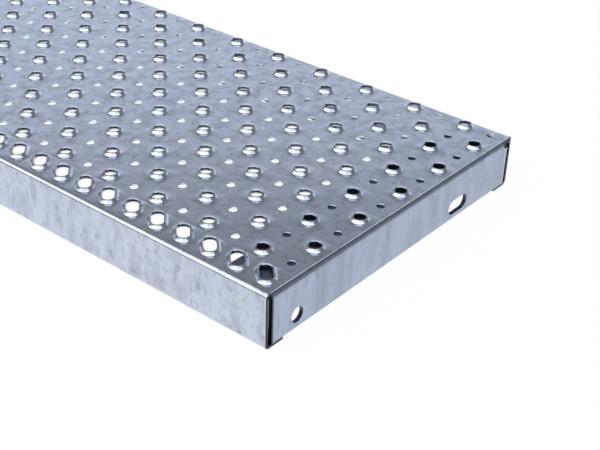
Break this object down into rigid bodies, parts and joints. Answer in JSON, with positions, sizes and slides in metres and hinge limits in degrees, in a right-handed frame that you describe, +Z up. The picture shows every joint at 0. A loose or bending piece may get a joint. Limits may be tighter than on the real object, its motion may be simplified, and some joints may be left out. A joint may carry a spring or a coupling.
{
  "type": "stair tread",
  "caption": "Folded sheet-steel stair tread with raised anti-slip collars, drain holes and slanted nosing slots, bolted between stringers through an angle bracket inside each end.",
  "frame": {"origin": "under the middle of the tread, level with the undersides of its folded lips", "axes": "+X along the tread to its right end, +Y from the nosing to the back edge, +Z up from the lips to the walking face"},
  "size_m": [0.61, 0.27, 0.0425],
  "materials": {
    "galvanised_sheet": "hot-dip galvanised sheet, dull grey zinc with faint spangle",
    "galvanised_bracket": "hot-dip galvanised plate, dull grey zinc with faint runs"
  },
  "bodies": {
    "root": {"tread_sheet": "galvanised_sheet", "end_bracket_right": "galvanised_bracket", "end_bracket_left": "galvanised_bracket"}
  },
  "joints": []
}
